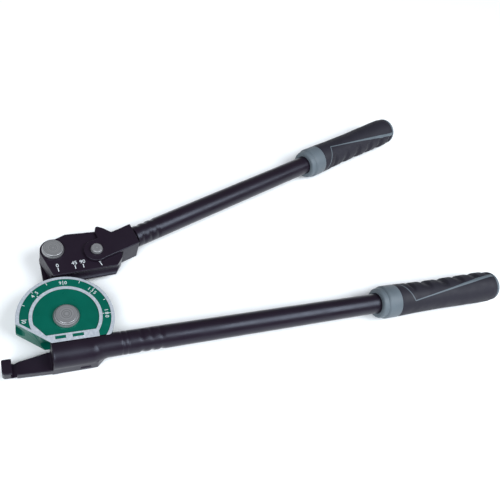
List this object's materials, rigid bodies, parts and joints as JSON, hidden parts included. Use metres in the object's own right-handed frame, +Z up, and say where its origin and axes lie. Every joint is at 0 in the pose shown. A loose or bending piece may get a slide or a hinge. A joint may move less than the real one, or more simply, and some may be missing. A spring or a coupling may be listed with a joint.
{
  "type": "manual tube bender",
  "caption": "Hand lever bender for metal tube: grooved round former with a degree scale, swinging bending shoe, hook for the tube's tail and two long gripped handles.",
  "frame": {"origin": "where the former's axis meets the plane the tool lies on, at the flat lower end of the centre pin", "axes": "+Z up along the former's axis, tool lying on its back; +X along the lower handle towards its grip; +Y towards the bending shoe"},
  "size_m": [0.4842, 0.2626, 0.0319],
  "materials": {
    "black_paint": "semi-gloss black paint",
    "green_anodised": "green anodised, machined raised rings",
    "steel": "turned steel",
    "black_rubber": "matt moulded rubber",
    "grey_rubber": "matt moulded rubber"
  },
  "bodies": {
    "frame": {"frame_casting": "black_paint", "former_disc": "green_anodised", "former_screw_1": "steel", "former_screw_2": "steel", "centre_pin": "steel", "centre_pin_ring": "steel", "lower_tube": "black_paint", "lower_roll_pin": "steel", "lower_collar": "grey_rubber", "lower_grip": "black_rubber", "lower_end_cap": "grey_rubber"},
    "link": {"link_plate": "black_paint"},
    "shoe": {"bending_shoe": "black_paint", "shoe_pin": "steel", "shoe_pin_ring": "steel"},
    "handle": {"handle_yoke": "black_paint", "yoke_pin": "steel", "yoke_pin_ring": "steel", "upper_tube": "black_paint", "upper_roll_pin": "steel", "upper_collar": "grey_rubber", "upper_grip": "black_rubber", "upper_end_cap": "grey_rubber"}
  },
  "joints": [
    {"name": "link_swing", "type": "hinge", "parent": "frame", "child": "link", "pos_m": [0, 0, 0.016], "axis": [0, 0, 1], "range_deg": [-23, 90]},
    {"name": "shoe_tilt", "type": "hinge", "parent": "link", "child": "shoe", "pos_m": [-0.00189, 0.06326, 0.016], "axis": [0, 0, 1], "range_deg": [0, 25]},
    {"name": "handle_step", "type": "hinge", "parent": "shoe", "child": "handle", "pos_m": [0.03264, 0.05817, 0.016], "axis": [0, 0, 1], "range_deg": [0, 55]}
  ]
}
